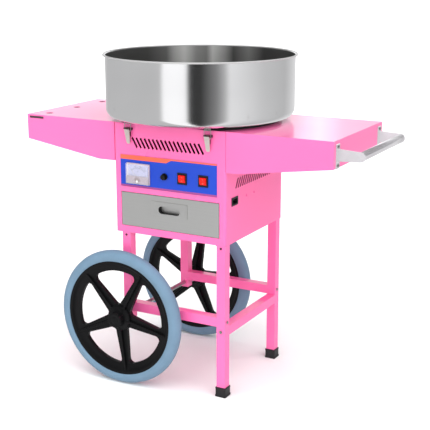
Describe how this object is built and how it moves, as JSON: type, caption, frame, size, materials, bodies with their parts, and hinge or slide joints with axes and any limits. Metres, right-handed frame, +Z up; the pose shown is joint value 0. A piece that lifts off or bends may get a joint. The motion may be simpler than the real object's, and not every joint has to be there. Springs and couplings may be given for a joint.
{
  "type": "electric cotton candy cart",
  "caption": "Electric cotton candy machine on a sheet-metal cart with a round spinning bowl, side shelves, a drawer, spoked wheels and a push handle.",
  "frame": {"origin": "on the floor under the middle of the overall box, handle included", "axes": "+X to the right along the front towards the push handle, +Y to the back, +Z up"},
  "size_m": [0.9794, 0.52, 0.89],
  "materials": {
    "pink": "glossy powder coat",
    "panel": "printed blue and orange sheet",
    "bright_steel": "polished, finely brushed",
    "satin_steel": "satin",
    "chrome": "dull chrome",
    "zinc": "zinc plated",
    "dark_metal": "dark enamel",
    "black_plastic": "fine grain",
    "grey_plastic": "moulded",
    "white_card": "matt",
    "clear_plastic": "clear moulding",
    "red_plastic": "gloss",
    "fuse_glass": "clear with metal ends",
    "rubber": "matt",
    "tyre": "smooth blue-grey solid rubber",
    "aluminium": "turned",
    "brass": "turned",
    "element": "heat stained",
    "brown_plastic": "moulded board",
    "dark_plate": "plain dark plate"
  },
  "bodies": {
    "cart": {"cabinet_front": "pink", "cabinet_left_side": "pink", "cabinet_right_side": "pink", "cabinet_rear": "pink", "cabinet_top": "pink", "cabinet_floor": "pink", "divider_plate": "zinc", "left_shelf": "pink", "right_shelf": "pink", "blank_plate": "dark_plate", "handle_brackets": "chrome", "handle_tube": "chrome", "control_panel": "panel", "meter_case": "grey_plastic", "meter_dial": "white_card", "meter_cover": "clear_plastic", "fuse_holder": "black_plastic", "switch_bezels": "black_plastic", "power_inlet": "black_plastic", "drawer_runners": "zinc", "bowl": "bright_steel", "bowl_pads": "rubber", "bowl_catches": "bright_steel", "latch_bases": "dark_metal", "motor": "dark_metal", "motor_standoffs": "rubber", "brush_holder": "brown_plastic", "long_legs": "pink", "short_legs": "pink", "cross_bars": "pink", "side_bar": "pink", "rubber_feet": "rubber", "axle": "satin_steel", "axle_spacers": "zinc", "cabinet_screws": "zinc", "frame_bolts": "zinc"},
    "front_wheel_body": {"front_wheel": "black_plastic", "front_tyre": "tyre", "front_hub_cap": "black_plastic"},
    "rear_wheel_body": {"rear_wheel": "black_plastic", "rear_tyre": "tyre", "rear_hub_cap": "black_plastic"},
    "spinner": {"motor_shaft": "satin_steel", "slip_rings": "brass", "spinner_base": "aluminium", "heating_element": "element", "spinner_band": "aluminium", "spinner_lid": "aluminium"},
    "drawer": {"drawer_tray": "satin_steel", "drawer_front": "satin_steel", "drawer_pull": "satin_steel"},
    "left_rocker_body": {"left_rocker": "red_plastic"},
    "right_rocker_body": {"right_rocker": "red_plastic"},
    "needle": {"meter_needle": "black_plastic"},
    "fuse_carrier": {"fuse_link": "fuse_glass"},
    "fuse_cap_body": {"fuse_cap": "black_plastic"},
    "left_lever": {"left_latch_lever": "satin_steel"},
    "right_lever": {"right_latch_lever": "satin_steel"},
    "left_bail": {"left_latch_bail": "satin_steel"},
    "right_bail": {"right_latch_bail": "satin_steel"}
  },
  "joints": [
    {"name": "front_wheel_spin", "type": "hinge", "parent": "cart", "child": "front_wheel_body", "pos_m": [-0.17125, -0.2045, 0.188], "axis": [0, -1, 0], "continuous": true},
    {"name": "rear_wheel_spin", "type": "hinge", "parent": "cart", "child": "rear_wheel_body", "pos_m": [-0.17125, 0.2045, 0.188], "axis": [0, -1, 0], "continuous": true},
    {"name": "spinner_spin", "type": "hinge", "parent": "cart", "child": "spinner", "pos_m": [-0.03575, 0, 0.7], "axis": [0, 0, 1], "continuous": true},
    {"name": "drawer_slide", "type": "slide", "parent": "cart", "child": "drawer", "axis": [0, -1, 0], "range_m": [0, 0.2]},
    {"name": "left_switch_rock", "type": "hinge", "parent": "cart", "child": "left_rocker_body", "pos_m": [0.00525, -0.1695, 0.584], "axis": [-1, 0, 0], "range_deg": [0, 16]},
    {"name": "right_switch_rock", "type": "hinge", "parent": "cart", "child": "right_rocker_body", "pos_m": [0.06725, -0.1695, 0.584], "axis": [-1, 0, 0], "range_deg": [0, 16]},
    {"name": "needle_swing", "type": "hinge", "parent": "cart", "child": "needle", "pos_m": [-0.12725, -0.1753, 0.573], "axis": [0, 1, 0], "range_deg": [0, 90], "stiffness_Nm_per_rad": 0.0001, "springref_deg": -20.05},
    {"name": "fuse_draw", "type": "slide", "parent": "cart", "child": "fuse_carrier", "axis": [0, -1, 0], "range_m": [0, 0.03]},
    {"name": "fuse_cap_turn", "type": "hinge", "parent": "fuse_carrier", "child": "fuse_cap_body", "pos_m": [-0.04775, -0.1725, 0.584], "axis": [0, 1, 0], "range_deg": [-45, 0]},
    {"name": "left_latch_turn", "type": "hinge", "parent": "cart", "child": "left_lever", "pos_m": [-0.15475, -0.177, 0.702], "axis": [-1, 0, 0], "range_deg": [0, 90]},
    {"name": "left_bail_swing", "type": "hinge", "parent": "left_lever", "child": "left_bail", "pos_m": [-0.15475, -0.177, 0.696], "axis": [-1, 0, 0], "range_deg": [-117, 0]},
    {"name": "right_latch_turn", "type": "hinge", "parent": "cart", "child": "right_lever", "pos_m": [0.08325, -0.177, 0.702], "axis": [-1, 0, 0], "range_deg": [0, 90]},
    {"name": "right_bail_swing", "type": "hinge", "parent": "right_lever", "child": "right_bail", "pos_m": [0.08325, -0.177, 0.696], "axis": [-1, 0, 0], "range_deg": [-117, 0]}
  ],
  "couplings": [
    {"joint": "left_bail_swing", "follows": "left_latch_turn", "ratio": -1.3},
    {"joint": "right_bail_swing", "follows": "right_latch_turn", "ratio": -1.3}
  ]
}
